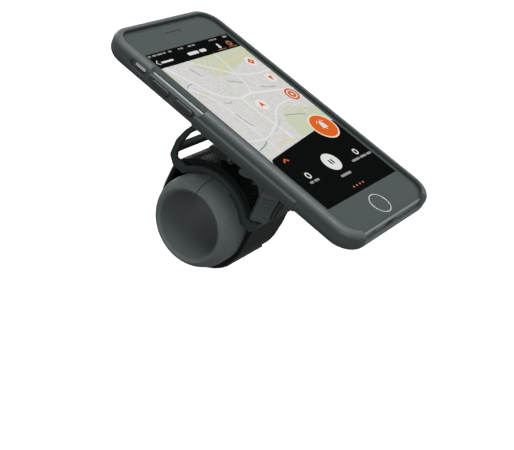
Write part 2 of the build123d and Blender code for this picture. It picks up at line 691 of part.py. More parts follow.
# ---- lock ring on the back of the case ----
with BuildPart() as lock_ring:
    with BuildSketch(Plane.XY.offset(ring_bottom_z)):
        Circle(ring_radius)
    extrude(amount=band_bottom_z - ring_bottom_z)
    chamfer(lock_ring.faces().sort_by(Axis.Z)[0].edges(), 0.8)
    with BuildSketch(Plane.XY.offset(ring_lip_top_z)):
        Circle(ring_pocket_radius)
    extrude(amount=10, mode=Mode.SUBTRACT)
    with BuildSketch(Plane.XY.offset(ring_bottom_z)):
        Circle(post_radius + running_gap)
        for middle_angle in (45, 225):
            with BuildLine():
                low = middle_angle - lug_angle / 2 - 2
                high = middle_angle + lug_angle / 2 + 2
                Line((0, 0), on_circle(lug_radius + 0.4, low))
                ThreePointArc(on_circle(lug_radius + 0.4, low), on_circle(lug_radius + 0.4, middle_angle),
                              on_circle(lug_radius + 0.4, high))
                Line(on_circle(lug_radius + 0.4, high), (0, 0))
            make_face()
    extrude(amount=3, mode=Mode.SUBTRACT)
    # dimples that the lever's nose drops into, a quarter turn apart
    nose_place = lever_origin + diagonal_out * dimple_reach
    with BuildSketch(Plane.XY.offset(ring_bottom_z)):
        for turn in range(4):
            with Locations(Location((0, 0, 0), (0, 0, 90 * turn))):
                with Locations(Location((nose_place.X, nose_place.Y, 0), (0, 0, 45))):
                    SlotOverall(dimple_length, dimple_width, rotation=90)
    extrude(amount=dimple_depth, mode=Mode.SUBTRACT)
    with Locations(Plane.XY.offset(band_bottom_z)):
        with PolarLocations(ring_screw_radius, 4, start_angle=45):
            Hole(0.8, depth=4.0)
lock_ring.part.label = "lock_ring"
export_step(lock_ring.part, "parts/lock_ring.step")

ring_screw_shape = countersunk_screw(0.75, 1.85, 5.4)
with BuildPart() as ring_screws:
    with Locations(Plane.XY.offset(case_floor_z - 0.05)):
        with PolarLocations(ring_screw_radius, 4, start_angle=45):
            add(ring_screw_shape)
ring_screws.part.label = "ring_screws"
export_step(ring_screws.part, "parts/ring_screws.step")


# ---- soft pads in the case's side walls ----
def button_pad(side, middle_y):
    outer_x = case_half_width + 0.35
    inner_x = phone_width / 2 + 0.85
    with BuildPart() as pad:
        with BuildSketch(Plane.YZ.offset(side * inner_x)):
            with Locations((middle_y, pad_z)):
                SlotOverall(pad_length, pad_height)
        extrude(amount=side * (outer_x - inner_x))
        fillet(pad.faces().sort_by(Axis.X)[-1 if side > 0 else 0].edges(), 0.6)
    return pad


volume_up_pad = button_pad(-1, volume_up_y)
volume_up_pad.part.label = "volume_up_pad"
export_step(volume_up_pad.part, "parts/volume_up_pad.step")

volume_down_pad = button_pad(-1, volume_down_y)
volume_down_pad.part.label = "volume_down_pad"
export_step(volume_down_pad.part, "parts/volume_down_pad.step")

power_pad = button_pad(1, power_y)
power_pad.part.label = "power_pad"
export_step(power_pad.part, "parts/power_pad.step")

# ---- phone: aluminium housing, front glass, display and buttons ----
front_thickness = 0.9
display_thickness = 0.5
home_radius = 4.75
home_ring_radius = 5.45
button_pocket = 1.6
glass_inset = 0.95
glass_drop = 0.45
glass_rim = 2.2


def glass_outline(inset):
    return (phone_width - 2 * (glass_inset + inset), phone_length - 2 * (glass_inset + inset))


with BuildPart() as phone_housing:
    with BuildSketch(Plane.XY.offset(phone_back_z)):
        RectangleRounded(phone_width, phone_length, phone_corner_radius)
    extrude(amount=phone_thickness - front_thickness)
    fillet(phone_housing.faces().sort_by(Axis.Z)[0].edges(), 2.4)
    fillet(phone_housing.faces().sort_by(Axis.Z)[-1].edges(), 1.0)
    for side, places in ((-1, (volume_up_y, volume_down_y)), (1, (power_y,))):
        with BuildSketch(Plane.YZ.offset(side * (phone_width / 2 + 1))):
            with Locations(*[(place, side_button_z) for place in places]):
                SlotOverall(key_length + 2 * key_gap, key_height + 2 * key_gap)
        extrude(amount=-side * (1 + button_pocket), mode=Mode.SUBTRACT)
    with BuildSketch(Plane.YZ.offset(-phone_width / 2 - 1)):
        with Locations((mute_y, side_button_z)):
            SlotOverall(6.2, 2.8)
    extrude(amount=1 + button_pocket, mode=Mode.SUBTRACT)
    # well for the home button's travel
    with BuildSketch(Plane.XY.offset(glass_z - front_thickness)):
        with Locations((0, home_y)):
            Circle(home_radius + 0.1)
    extrude(amount=-1.4, mode=Mode.SUBTRACT)
    # charging port, speaker holes and headphone socket in the bottom edge
    with BuildSketch(Plane.XZ.offset(phone_length / 2 + 1)):
        with Locations((0, pad_z)):
            SlotOverall(*port_size)
        with Locations(*[(11.0 + 2.2 * index, pad_z) for index in range(6)]):
            Circle(0.7)
        with Locations((-16.0, pad_z)):
            Circle(1.8)
    extrude(amount=-4.0, mode=Mode.SUBTRACT)
    # seat for the camera
    with BuildSketch(Plane.XY.offset(phone_back_z)):
        with Locations(camera_spot):
            Circle(camera_radius)
        with Locations(flash_spot):
            Circle(flash_radius)
    extrude(amount=1.2, mode=Mode.SUBTRACT)
phone_housing.part.label = "phone_housing"
export_step(phone_housing.part, "parts/phone_housing.step")

with BuildPart() as phone_glass:
    with BuildSketch(Plane.XY.offset(glass_z - front_thickness)):
        RectangleRounded(*glass_outline(0), phone_corner_radius - glass_inset)
    extrude(amount=front_thickness - glass_drop)
    # the rim falls away in a shallow curve
    with BuildSketch(Plane.XY.offset(glass_z - glass_drop)):
        RectangleRounded(*glass_outline(0), phone_corner_radius - glass_inset)
    with BuildSketch(Plane.XY.offset(glass_z)):
        RectangleRounded(*glass_outline(glass_rim), phone_corner_radius - glass_inset - glass_rim)
    loft(ruled=True)
    fillet(phone_glass.faces().sort_by(Axis.Z)[-1].edges(), 5.0)
    with BuildSketch(Plane.XY.offset(glass_z)):
        Rectangle(display_width, display_length)
    extrude(amount=-display_thickness, mode=Mode.SUBTRACT)
    with BuildSketch(Plane.XY.offset(glass_z)):
        with Locations((0, home_y)):
            Circle(home_ring_radius)
        with Locations((0, earpiece_y)):
            SlotOverall(10.8, 1.3)
    extrude(amount=-front_thickness, mode=Mode.SUBTRACT)
phone_glass.part.label = "phone_glass"
export_step(phone_glass.part, "parts/phone_glass.step")

with BuildPart() as phone_display:
    with BuildSketch(Plane.XY.offset(glass_z)):
        Rectangle(display_width - 0.02, display_length - 0.02)
    extrude(amount=-display_thickness + 0.02)
phone_display.part.label = "phone_display"
export_step(phone_display.part, "parts/phone_display.step")

with BuildPart() as home_ring:
    with BuildSketch(Plane.XY.offset(glass_z - front_thickness)):
        with Locations((0, home_y)):
            Circle(home_ring_radius - 0.02)
            Circle(home_radius + 0.1, mode=Mode.SUBTRACT)
    extrude(amount=front_thickness)
home_ring.part.label = "home_ring"
export_step(home_ring.part, "parts/home_ring.step")

with BuildPart() as home_button:
    with BuildSketch(Plane.XY.offset(glass_z - 0.15)):
        with Locations((0, home_y)):
            Circle(home_radius)
    extrude(amount=-1.2)
    fillet(home_button.faces().sort_by(Axis.Z)[-1].edges(), 0.2)
home_button.part.label = "home_button"
export_step(home_button.part, "parts/home_button.step")

with BuildPart() as earpiece_grille:
    with BuildSketch(Plane.XY.offset(glass_z - 0.25)):
        with Locations((0, earpiece_y)):
            SlotOverall(10.76, 1.26)
    extrude(amount=-0.6)
earpiece_grille.part.label = "earpiece_grille"
export_step(earpiece_grille.part, "parts/earpiece_grille.step")


def side_button(side, middle_y):
    outer_x = phone_width / 2 + 0.3
    with BuildPart() as button:
        with BuildSketch(Plane.YZ.offset(side * outer_x)):
            with Locations((middle_y, side_button_z)):
                SlotOverall(key_length, key_height)
        extrude(amount=-side * 1.2)
        fillet(button.faces().sort_by(Axis.X)[-1 if side > 0 else 0].edges(), 0.25)
    return button


phone_volume_up = side_button(-1, volume_up_y)
phone_volume_up.part.label = "phone_volume_up"
export_step(phone_volume_up.part, "parts/phone_volume_up.step")

phone_volume_down = side_button(-1, volume_down_y)
phone_volume_down.part.label = "phone_volume_down"
export_step(phone_volume_down.part, "parts/phone_volume_down.step")

phone_power = side_button(1, power_y)
phone_power.part.label = "phone_power"
export_step(phone_power.part, "parts/phone_power.step")

with BuildPart() as mute_switch:
    with BuildSketch(Plane.YZ.offset(-phone_width / 2 - 0.3)):
        with Locations((mute_y, side_button_z + 0.4)):
            SlotOverall(5.8, 1.5)
    extrude(amount=1.3)
mute_switch.part.label = "mute_switch"
export_step(mute_switch.part, "parts/mute_switch.step")

with BuildPart() as charging_port:
    with BuildSketch(Plane.XZ.offset(phone_length / 2 - 0.3)):
        with Locations((0, pad_z)):
            SlotOverall(port_size[0] - 0.04, port_size[1] - 0.04)
            SlotOverall(port_size[0] - 1.6, port_size[1] - 1.3, mode=Mode.SUBTRACT)
    extrude(amount=-2.6)
charging_port.part.label = "charging_port"
export_step(charging_port.part, "parts/charging_port.step")

with BuildPart() as camera_ring:
    with BuildSketch(Plane.XY.offset(phone_back_z - 0.45)):
        with Locations(camera_spot):
            Circle(camera_radius - 0.04)
            Circle(lens_radius, mode=Mode.SUBTRACT)
    extrude(amount=1.6)
camera_ring.part.label = "camera_ring"
export_step(camera_ring.part, "parts/camera_ring.step")

with BuildPart() as camera_lens:
    with BuildSketch(Plane.XY.offset(phone_back_z - 0.3)):
        with Locations(camera_spot):
            Circle(lens_radius - 0.02)
    extrude(amount=1.4)
camera_lens.part.label = "camera_lens"
export_step(camera_lens.part, "parts/camera_lens.step")

with BuildPart() as camera_flash:
    with BuildSketch(Plane.XY.offset(phone_back_z)):
        with Locations(flash_spot):
            Circle(flash_radius - 0.04)
    extrude(amount=1.1)
camera_flash.part.label = "camera_flash"
export_step(camera_flash.part, "parts/camera_flash.step")
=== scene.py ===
"""Looks of the handlebar phone mount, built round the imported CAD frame.

Everything is in metres in the CAD's frame: X along the bar, Y towards the top of the phone,
Z out of the phone's glass. Drawings on the display are laid out in millimetres from its centre.
"""

import math
import random

import bmesh
import bpy
from mathutils import Matrix, Vector


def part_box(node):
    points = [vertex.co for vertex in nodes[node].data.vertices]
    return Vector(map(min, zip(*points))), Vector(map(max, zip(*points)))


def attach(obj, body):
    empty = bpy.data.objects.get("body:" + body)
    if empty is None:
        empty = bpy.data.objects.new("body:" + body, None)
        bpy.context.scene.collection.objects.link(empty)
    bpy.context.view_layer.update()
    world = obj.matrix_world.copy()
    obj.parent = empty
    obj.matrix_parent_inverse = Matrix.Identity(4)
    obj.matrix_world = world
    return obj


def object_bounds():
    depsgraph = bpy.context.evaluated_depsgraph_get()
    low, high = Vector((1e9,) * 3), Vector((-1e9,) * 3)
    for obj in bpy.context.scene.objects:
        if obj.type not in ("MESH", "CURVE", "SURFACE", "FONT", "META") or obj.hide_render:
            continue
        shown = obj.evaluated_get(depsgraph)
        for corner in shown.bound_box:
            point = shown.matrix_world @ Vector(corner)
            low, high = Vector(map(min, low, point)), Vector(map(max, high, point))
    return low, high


MM = 0.001

# Blender's own numbers: stripes of the wave texture, and the sockets of a colour Mix node
WAVE_RATE = 20
MIX_FACTOR, MIX_FIRST, MIX_SECOND, MIX_RESULT = 0, 6, 7, 2

# edges of moulded and metal parts
BEVEL_SAMPLES = 4
FLAT_FACE, SHARP_EDGE = 0.995, 0.86
# size of the patches on edges painted lighter: partly wear, partly painted highlight
WEAR_AND_HIGHLIGHT_PATCH = 2.2 * MM
METAL_EDGE = 0.15 * MM
STRAP_EDGE = 0.18 * MM

# changes of roughness across a part
POLISH_SPREAD = 0.07
POLISH_PATCH = 7 * MM

# the lining
WEAVE = 0.35 * MM

# the display
UNLIT = (0.002, 0.002, 0.002, 1)
PIXEL = 0.16 * MM
BUILDING = 1.3 * MM
CITY_BLOCK = 3.4 * MM

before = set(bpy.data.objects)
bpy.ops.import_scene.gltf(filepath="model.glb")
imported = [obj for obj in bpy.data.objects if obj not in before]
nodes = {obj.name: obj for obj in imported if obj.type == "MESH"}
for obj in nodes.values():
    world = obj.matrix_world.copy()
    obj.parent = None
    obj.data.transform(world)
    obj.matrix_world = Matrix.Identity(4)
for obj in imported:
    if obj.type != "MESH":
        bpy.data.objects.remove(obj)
cad_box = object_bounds()


def srgb(red, green, blue):
    """A linear colour from its 0 to 255 display values."""
    channels = [value / 255 for value in (red, green, blue)]
    linear = [c / 12.92 if c <= 0.04045 else ((c + 0.055) / 1.055) ** 2.4 for c in channels]
    return (*linear, 1.0)


def scaled(colour, factor):
    """The same colour made darker or paler."""
    return (*[min(1.0, c * factor) for c in colour[:3]], 1.0)


# ---- node helpers ----
class Shader:
    """A material with a Principled shader, and short ways to add texture nodes to it."""

    def __init__(self, name):
        self.material = bpy.data.materials.new(name)
        self.material.use_nodes = True
        self.tree = self.material.node_tree
        self.nodes = self.tree.nodes
        self.surface = self.nodes["Principled BSDF"]
        self.where = self.nodes.new("ShaderNodeTexCoord").outputs["Object"]

    def link(self, output, target):
        self.tree.links.new(output, target)

    def set(self, **values):
        """Sets sockets of the surface, with _ for the spaces in their names."""
        for name, value in values.items():
            self.surface.inputs[name.replace("_", " ")].default_value = value

    def place(self, scale=(1, 1, 1), rotation=(0, 0, 0)):
        """The object's coordinates, stretched and turned."""
        mapping = self.nodes.new("ShaderNodeMapping")
        mapping.inputs["Scale"].default_value = scale
        mapping.inputs["Rotation"].default_value = rotation
        self.link(self.where, mapping.inputs["Vector"])
        return mapping.outputs["Vector"]

    def noise(self, size, detail=2.0, roughness=0.5, where=None):
        """Noise between 0 and 1, whose blobs are about size metres across."""
        texture = self.nodes.new("ShaderNodeTexNoise")
        texture.inputs["Scale"].default_value = 1 / size
        texture.inputs["Detail"].default_value = detail
        texture.inputs["Roughness"].default_value = roughness
        self.link(where or self.where, texture.inputs["Vector"])
        return texture.outputs["Fac"]

    def cells(self, size, feature="F1", output="Distance"):
        """Voronoi cells about size metres across."""
        texture = self.nodes.new("ShaderNodeTexVoronoi")
        texture.feature = feature
        texture.inputs["Scale"].default_value = 1 / size
        self.link(self.where, texture.inputs["Vector"])
        return texture.outputs[output]

    def waves(self, size, axis="X", where=None, distortion=0.0):
        """Stripes between 0 and 1, size metres apart along axis."""
        texture = self.nodes.new("ShaderNodeTexWave")
        texture.bands_direction = axis
        texture.inputs["Scale"].default_value = math.tau / (WAVE_RATE * size)
        texture.inputs["Distortion"].default_value = distortion
        self.link(where or self.where, texture.inputs["Vector"])
        return texture.outputs["Fac"]

    def remap(self, value, from_low, from_high, to_low=0.0, to_high=1.0):
        """The value moved from one range to another, and held inside it."""
        node = self.nodes.new("ShaderNodeMapRange")
        node.clamp = True
        for name, number in (("From Min", from_low), ("From Max", from_high),
                             ("To Min", to_low), ("To Max", to_high)):
            node.inputs[name].default_value = number
        self.link(value, node.inputs["Value"])
        return node.outputs["Result"]

    def maths(self, operation, first, second):
        """Two values put together. Each is a number or another node's output."""
        node = self.nodes.new("ShaderNodeMath")
        node.operation = operation
        for socket, value in zip(node.inputs, (first, second)):
            if isinstance(value, (int, float)):
                socket.default_value = value
            else:
                self.link(value, socket)
        return node.outputs[0]

    def blend(self, factor, first, second):
        """One colour over another. Each is a colour or another node's output."""
        node = self.nodes.new("ShaderNodeMix")
        node.data_type = "RGBA"
        sockets = (node.inputs[MIX_FACTOR], node.inputs[MIX_FIRST], node.inputs[MIX_SECOND])
        for socket, value in zip(sockets, (factor, first, second)):
            if isinstance(value, (int, float, tuple)):
                socket.default_value = value
            else:
                self.link(value, socket)
        return node.outputs[MIX_RESULT]

    def bump(self, height, depth, normal=None):
        """Height between 0 and 1 becomes bumps depth metres high."""
        node = self.nodes.new("ShaderNodeBump")
        node.inputs["Distance"].default_value = depth
        node.inputs["Strength"].default_value = 1.0
        self.link(height, node.inputs["Height"])
        if normal is not None:
            self.link(normal, node.inputs["Normal"])
        return node.outputs["Normal"]

    def rounded_normal(self, radius):
        """A normal that rounds the edges off without changing the mesh."""
        node = self.nodes.new("ShaderNodeBevel")
        node.samples = BEVEL_SAMPLES
        node.inputs["Radius"].default_value = radius
        return node.outputs["Normal"]

    def worn_and_highlit_edges(self, rounded):
        """1 on sharp edges and 0 on flat faces, broken up by noise: where edges are painted lighter,
        partly as wear and partly as a painted highlight.
        """
        geometry = self.nodes.new("ShaderNodeNewGeometry")
        dot = self.nodes.new("ShaderNodeVectorMath")
        dot.operation = "DOT_PRODUCT"
        self.link(rounded, dot.inputs[0])
        self.link(geometry.outputs["Normal"], dot.inputs[1])
        edge = self.remap(dot.outputs["Value"], FLAT_FACE, SHARP_EDGE)
        patches = self.remap(self.noise(WEAR_AND_HIGHLIGHT_PATCH, 3), 0.35, 0.65, 0.25, 1.0)
        # edges painted lighter: partly wear, partly painted highlight
        return self.maths("MULTIPLY", edge, patches)

    def glow(self, colour):
        """The surface shines with this colour and reflects nothing."""
        self.link(colour, self.surface.inputs["Emission Color"])
        self.set(Base_Color=UNLIT, Emission_Strength=1.0, Roughness=0.25, Specular_IOR_Level=0.0)


def moulded(name, colour, roughness, mottle=0.10, blotch=18 * MM, grain=0.22 * MM,
            depth=0.020 * MM, edge=0.30 * MM, wear_and_highlight=1.5, pits=0.0, **sockets):
    """Moulded plastic or rubber: mottled colour, fine grain, and rounded edges painted lighter, partly
    as soft wear and partly as a painted highlight.
    """
    shader = Shader(name)
    rounded = shader.rounded_normal(edge)
    clouds = shader.noise(blotch, 4, 0.6)
    specks = shader.noise(0.9 * MM, 2)
    tint = shader.maths("ADD", shader.maths("MULTIPLY", clouds, 0.7),
                        shader.maths("MULTIPLY", specks, 0.3))
    tint = shader.remap(tint, 0.36, 0.64)
    body = shader.blend(tint, scaled(colour, 1 - mottle), scaled(colour, 1 + mottle))
    # edges painted lighter by this factor: partly wear, partly painted highlight
    body = shader.blend(shader.worn_and_highlit_edges(rounded), body, scaled(colour, wear_and_highlight))
    shader.link(body, shader.surface.inputs["Base Color"])
    polish = shader.remap(shader.noise(POLISH_PATCH, 3), 0.3, 0.7,
                          roughness - POLISH_SPREAD, roughness + POLISH_SPREAD)
    shader.link(polish, shader.surface.inputs["Roughness"])
    fine = shader.noise(grain, 3, 0.65)
    if pits:
        fine = shader.maths("SUBTRACT", fine, shader.maths("MULTIPLY", shader.cells(pits), 0.6))
    shader.link(shader.bump(fine, depth, rounded), shader.surface.inputs["Normal"])
    shader.set(**sockets)
    return shader.material


def metal(name, colour, roughness, brush=(1, 1, 1), grain=0.10 * MM, depth=0.006 * MM, stain=0.08):
    """Bare or anodised metal. brush above 1 on an axis squeezes the grain along it into fine lines."""
    shader = Shader(name)
    rounded = shader.rounded_normal(METAL_EDGE)
    lines = shader.noise(grain, 2, 0.6, shader.place(scale=brush))
    haze = shader.noise(6 * MM, 3)
    tone = shader.blend(haze, scaled(colour, 1 - stain), scaled(colour, 1 + stain))
    tone = shader.blend(shader.remap(lines, 0.3, 0.7, 0, 0.25), tone, scaled(colour, 0.7))
    shader.link(tone, shader.surface.inputs["Base Color"])
    polish = shader.remap(shader.maths("ADD", lines, haze), 0.7, 1.3,
                          roughness - 0.06, roughness + 0.08)
    shader.link(polish, shader.surface.inputs["Roughness"])
    shader.link(shader.bump(lines, depth, rounded), shader.surface.inputs["Normal"])
    shader.set(Metallic=1.0)
    return shader.material


def nylon_strap(name, colour):
    """Toothed strap: satin black with fine lines drawn along its length, and tooth tips and edges
    painted lighter, partly as scuffs and partly as a painted highlight.
    """
    shader = Shader(name)
    rounded = shader.rounded_normal(STRAP_EDGE)
    drawn = shader.noise(0.5 * MM, 3, 0.6, shader.place(scale=(4.0, 0.25, 0.25)))
    clouds = shader.noise(11 * MM, 3)
    body = shader.blend(clouds, scaled(colour, 0.8), scaled(colour, 1.25))
    body = shader.blend(shader.remap(drawn, 0.45, 0.7, 0, 0.5), body, scaled(colour, 1.7))
    # edges and tooth tips painted much lighter: partly scuffs, partly painted highlight
    body = shader.blend(shader.worn_and_highlit_edges(rounded), body, scaled(colour, 5.0))
    shader.link(body, shader.surface.inputs["Base Color"])
    shader.link(shader.remap(drawn, 0.3, 0.7, 0.36, 0.52), shader.surface.inputs["Roughness"])
    shader.link(shader.bump(drawn, 0.02 * MM, rounded), shader.surface.inputs["Normal"])
    shader.set(Specular_IOR_Level=0.22)
    return shader.material


def microfibre(name, colour):
    """Short-pile lining with a faint diagonal weave."""
    shader = Shader(name)
    weave = shader.maths("MULTIPLY", shader.waves(WEAVE, "DIAGONAL"),
                         shader.waves(WEAVE, "X", shader.place(rotation=(0, 0, -0.8))))
    pile = shader.noise(0.16 * MM, 3, 0.7)
    tone = shader.blend(shader.noise(5 * MM, 3), scaled(colour, 0.8), scaled(colour, 1.25))
    tone = shader.blend(shader.remap(weave, 0, 1, 0, 0.3), tone, scaled(colour, 1.6))
    shader.link(tone, shader.surface.inputs["Base Color"])
    woven = shader.maths("ADD", weave, pile)
    shader.link(shader.bump(woven, 0.05 * MM), shader.surface.inputs["Normal"])
    shader.set(Roughness=0.95, Sheen_Weight=0.5, Sheen_Roughness=0.5)
    return shader.material


def cover_glass(name, colour):
    """Coated cover glass over a printed border, with faint smears."""
    shader = Shader(name)
    smear = shader.noise(5 * MM, 4, 0.65, shader.place(scale=(1, 0.45, 1), rotation=(0, 0, 0.5)))
    dust = shader.remap(shader.noise(0.28 * MM, 1), 0.70, 0.78, 0, 0.35)
    tone = shader.blend(smear, scaled(colour, 0.94), scaled(colour, 1.06))
    tone = shader.blend(dust, tone, scaled(colour, 1.35))
    shader.link(tone, shader.surface.inputs["Base Color"])
    shader.link(shader.remap(smear, 0.35, 0.7, 0.20, 0.34), shader.surface.inputs["Roughness"])
    shader.set(Specular_IOR_Level=0.14)
    return shader.material


def perforated(name, colour, hole):
    """Fine acoustic mesh: round holes in a dark sheet, the holes painted darker still as painted shade
    inside them.
    """
    shader = Shader(name)
    holes = shader.cells(hole)
    rim = shader.remap(holes, 0.25, 0.4)
    # the holes painted near black: painted shade inside the openings
    tone = shader.blend(rim, scaled(colour, 0.2), scaled(colour, 1.5))
    shader.link(tone, shader.surface.inputs["Base Color"])
    shader.link(shader.bump(rim, 0.06 * MM), shader.surface.inputs["Normal"])
    polish = shader.remap(shader.noise(1 * MM), 0.3, 0.7, 0.4, 0.6)
    shader.link(polish, shader.surface.inputs["Roughness"])
    return shader.material


def lens(name, colour, coating):
    """Dark coated lens: the coating's tint changes slowly across it."""
    shader = Shader(name)
    tint = shader.blend(shader.remap(shader.noise(3 * MM, 2), 0.35, 0.65), colour, coating)
    shader.link(tint, shader.surface.inputs["Base Color"])
    polish = shader.remap(shader.noise(0.6 * MM, 3), 0.3, 0.8, 0.03, 0.10)
    shader.link(polish, shader.surface.inputs["Roughness"])
    shader.set(Coat_Weight=1.0, Coat_Roughness=0.03)
    return shader.material


def lit(name, colour):
    """One colour of the lit display, with its pixel rows and columns."""
    shader = Shader(name)
    rows = shader.waves(PIXEL, "X")
    columns = shader.waves(PIXEL, "Y")
    grid = shader.remap(shader.maths("ADD", rows, columns), 0, 2)
    tone = shader.blend(grid, scaled(colour, 0.93), scaled(colour, 1.0))
    uneven = shader.remap(shader.noise(30 * MM, 1), 0.3, 0.7, 0, 0.10)
    shader.glow(shader.blend(uneven, tone, scaled(colour, 0.85)))
    return shader.material


def lit_map(name):
    """The map's ground: pale blocks between thin streets, with contours and a green cast in places."""
    shader = Shader(name)
    green_cast = shader.remap(shader.noise(16 * MM, 3), 0.42, 0.6)
    ground = shader.blend(green_cast, srgb(212, 209, 209), srgb(209, 211, 204))
    waves = shader.waves(1.5 * MM, "DIAGONAL", distortion=5.0)
    contour = shader.remap(waves, 0.90, 0.99, 0, 0.45)
    ground = shader.blend(contour, ground, srgb(190, 182, 172))
    block_edge = shader.cells(CITY_BLOCK, "DISTANCE_TO_EDGE")
    small_edge = shader.cells(BUILDING, "DISTANCE_TO_EDGE")
    built = shader.remap(shader.cells(BUILDING, "F1", "Color"), 0.35, 0.75, 0, 0.55)
    lane = shader.remap(small_edge, 0.02, 0.05, 0.40, 0)
    street = shader.remap(block_edge, 0.035, 0.07, 0.6, 0)
    for share, colour in ((built, srgb(201, 198, 197)), (lane, srgb(219, 216, 215)),
                          (street, srgb(222, 220, 219))):
        ground = shader.blend(share, ground, colour)
    shader.glow(ground)
    return shader.material


# ---- finishes of the CAD nodes ----
def paint(material, *names):
    """Gives CAD nodes one material in place of their own."""
    for name in names:
        slots = nodes[name].data.materials
        slots.clear()
        slots.append(material)


def finish_nodes():
    # each wear factor below paints the part's edges lighter: partly wear, partly painted highlight
    paint(moulded("bracket_nylon", srgb(42, 49, 49), 0.50, grain=0.16 * MM, depth=0.018 * MM,
                  pits=0.35 * MM, wear_and_highlight=1.8, Specular_IOR_Level=0.35), "bracket_body")
    paint(moulded("sleeve_rubber", srgb(78, 85, 85), 0.70, mottle=0.07, grain=0.30 * MM,
                  depth=0.030 * MM, edge=0.40 * MM, wear_and_highlight=1.25, Sheen_Weight=0.04), "bar_sleeve")
    paint(moulded("pad_rubber", srgb(30, 34, 34), 0.78, mottle=0.12, grain=0.25 * MM,
                  depth=0.035 * MM), "saddle_pad_front", "saddle_pad_rear")
    paint(nylon_strap("strap_nylon", srgb(13, 17, 17)), "strap")
    paint(moulded("head_nylon", srgb(36, 41, 41), 0.40, mottle=0.09, grain=0.14 * MM,
                  depth=0.014 * MM), "twist_head", "strap_pawl")
    paint(moulded("ring_nylon", srgb(40, 46, 46), 0.42, mottle=0.09, grain=0.14 * MM,
                  depth=0.016 * MM, wear_and_highlight=1.6), "lock_ring")
    paint(moulded("lever_nylon", srgb(66, 73, 73), 0.46, mottle=0.08, grain=0.16 * MM,
                  depth=0.016 * MM, wear_and_highlight=2.1), "release_lever")
    paint(moulded("case_elastomer", srgb(54, 61, 61), 0.50, mottle=0.06, blotch=24 * MM,
                  grain=0.20 * MM, depth=0.016 * MM, edge=0.45 * MM, wear_and_highlight=1.25,
                  Sheen_Weight=0.06), "case_shell")
    paint(moulded("pad_elastomer", srgb(40, 46, 46), 0.50, mottle=0.07, grain=0.20 * MM,
                  depth=0.018 * MM, edge=0.40 * MM, wear_and_highlight=1.3),
          "volume_up_pad", "volume_down_pad", "power_pad")
    paint(metal("turned_steel", srgb(112, 116, 118), 0.34, brush=(0.2, 3, 3)),
          "strap_anchor_pin", "pawl_pin", "lever_pin")
    paint(metal("spring_steel", srgb(150, 152, 154), 0.32), "pawl_spring", "lever_spring")
    paint(metal("blackened_steel", srgb(70, 72, 74), 0.34, grain=0.14 * MM),
          "head_screws", "ring_screws")
    paint(microfibre("lining_microfibre", srgb(52, 56, 60)), "case_lining")
    paint(metal("blasted_aluminium", srgb(132, 137, 139), 0.60, grain=0.07 * MM, stain=0.04),
          "phone_housing", "phone_volume_up", "phone_volume_down", "phone_power")
    paint(moulded("switch_paint", srgb(205, 208, 209), 0.42, mottle=0.04, grain=0.10 * MM,
                  depth=0.006 * MM, edge=0.12 * MM, wear_and_highlight=1.1), "mute_switch")
    paint(metal("polished_ring", srgb(206, 209, 211), 0.26, grain=0.09 * MM, depth=0.003 * MM,
                stain=0.05), "home_ring", "camera_ring")
    paint(cover_glass("border_glass", srgb(50, 57, 57)), "phone_glass", "home_button")
    paint(perforated("acoustic_mesh", srgb(34, 36, 38), 0.32 * MM),
          "earpiece_grille", "charging_port")
    paint(lens("lens_glass", srgb(10, 12, 20), srgb(28, 22, 52)), "camera_lens")
    paint(lens("flash_lens", srgb(196, 188, 160), srgb(226, 214, 178)), "camera_flash")
    paint(lit("display_off", srgb(3, 6, 4)), "phone_display")


# ---- flat drawings on the display ----
display_low, display_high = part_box("phone_display")
display_centre = (display_low + display_high) / 2
HALF_WIDTH = (display_high.x - display_low.x) / 2 / MM
LAYER = 0.03
SLAB = 0.8          # a slab's thickness in layers, so that no two faces meet
HEADER_BOTTOM = 42.3
PANEL_LEFT_Y = -20.4
PANEL_RIGHT_Y = -13.6
WORD_GAP = 0.55     # between two words of made-up text, as a share of its height
BAR_ROUNDING = 0.42
ARC_STEPS = 12


def disc(x, y, radius, points=48, squash=1.0):
    """A circle, or an ellipse squash times as high as it is wide."""
    turns = [math.tau * index / points for index in range(points)]
    return [(x + radius * math.cos(a), y + radius * squash * math.sin(a)) for a in turns]


def rounded_box(x, y, width, height, radius, steps=5):
    """A box with round corners, each drawn in that many steps."""
    corners = ((1, 1, 0), (-1, 1, 90), (-1, -1, 180), (1, -1, 270))
    outline = []
    for side_x, side_y, start in corners:
        for step in range(steps + 1):
            angle = math.radians(start + 90 * step / steps)
            outline.append((x + side_x * (width / 2 - radius) + radius * math.cos(angle),
                            y + side_y * (height / 2 - radius) + radius * math.sin(angle)))
    return outline


def moved(outline, centre):
    return [(x + centre[0], y + centre[1]) for x, y in outline]


def diamond(centre, size, radius):
    return turned(rounded_box(*centre, size, size, radius), 45, centre)


def band(centre, outer, inner):
    """A ring-shaped outline: the outer circle and the hole."""
    return [disc(*centre, outer), disc(*centre, inner)]


def turned(outline, degrees, centre=(0, 0)):
    angle = math.radians(degrees)
    cosine, sine = math.cos(angle), math.sin(angle)
    offsets = [(x - centre[0], y - centre[1]) for x, y in outline]
    return [(centre[0] + x * cosine - y * sine, centre[1] + x * sine + y * cosine)
            for x, y in offsets]


def smooth_path(points, steps=8):
    """Catmull-Rom curve through the points."""
    ends = [points[0], *points, points[-1]]
    path = []
    for first, second, third, fourth in zip(ends, ends[1:], ends[2:], ends[3:]):
        for step in range(steps):
            t = step / steps
            path.append(tuple(0.5 * (2 * b + (c - a) * t + (2 * a - 5 * b + 4 * c - d) * t ** 2
                                     + (3 * b - a - 3 * c + d) * t ** 3)
                              for a, b, c, d in zip(first, second, third, fourth)))
    return [*path, points[-1]]


